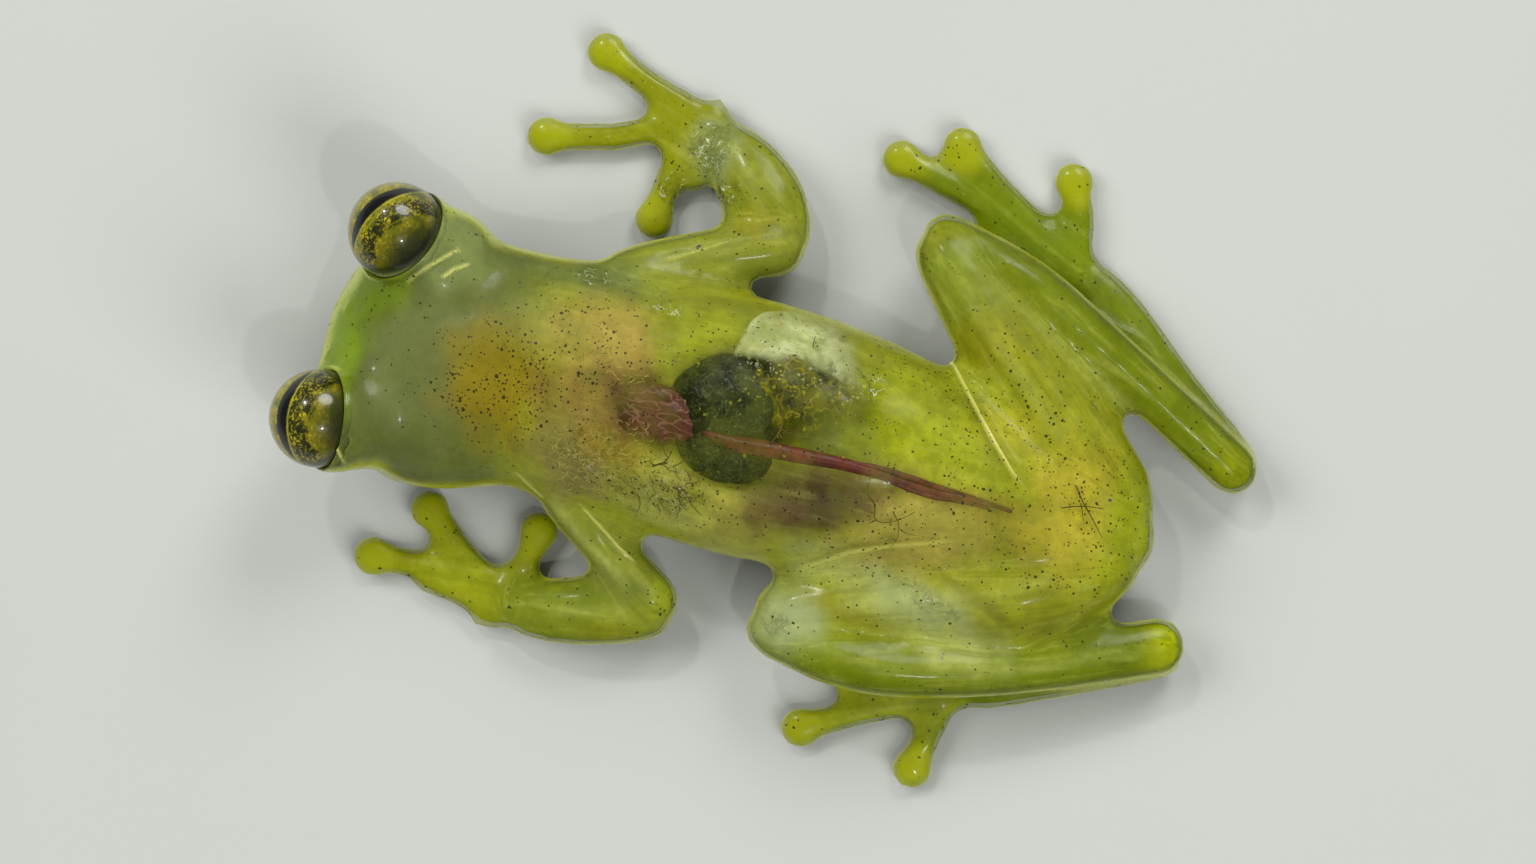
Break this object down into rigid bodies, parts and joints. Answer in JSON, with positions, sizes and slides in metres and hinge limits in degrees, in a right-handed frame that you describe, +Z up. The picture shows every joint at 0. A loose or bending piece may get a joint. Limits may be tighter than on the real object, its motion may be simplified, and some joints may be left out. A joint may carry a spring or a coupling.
{
  "type": "glass frog",
  "caption": "Life-size still model of a glass frog, crouched on its belly with folded hind legs and spread, disc-tipped fingers and toes.",
  "frame": {"origin": "on the surface that the frog rests on, below the middle of the whole animal's box", "axes": "+Z up, -Y towards the snout, +X towards the frog's left; the head, hands and feet are turned as in the pose"},
  "size_m": [0.0226, 0.0326, 0.0061],
  "materials": {
    "skin": "moist, smooth, half clear yellow-green skin",
    "head_skin": "moist, smooth, milky grey-green skin",
    "disc_skin": "moist, half clear yellow skin",
    "eye": "wet, clear cornea over an olive iris with a black slit"
  },
  "bodies": {
    "root": {"torso": "skin", "head": "head_skin", "eye_left": "eye", "eye_right": "eye", "upper_arm_left": "skin", "upper_arm_right": "skin", "forearm_left": "skin", "forearm_right": "skin", "hand_left": "disc_skin", "hand_right": "disc_skin", "thigh_left": "skin", "thigh_right": "skin", "shank_left": "skin", "shank_right": "skin", "tarsus_left": "skin", "tarsus_right": "skin", "foot_left": "disc_skin", "foot_right": "disc_skin"}
  },
  "joints": []
}
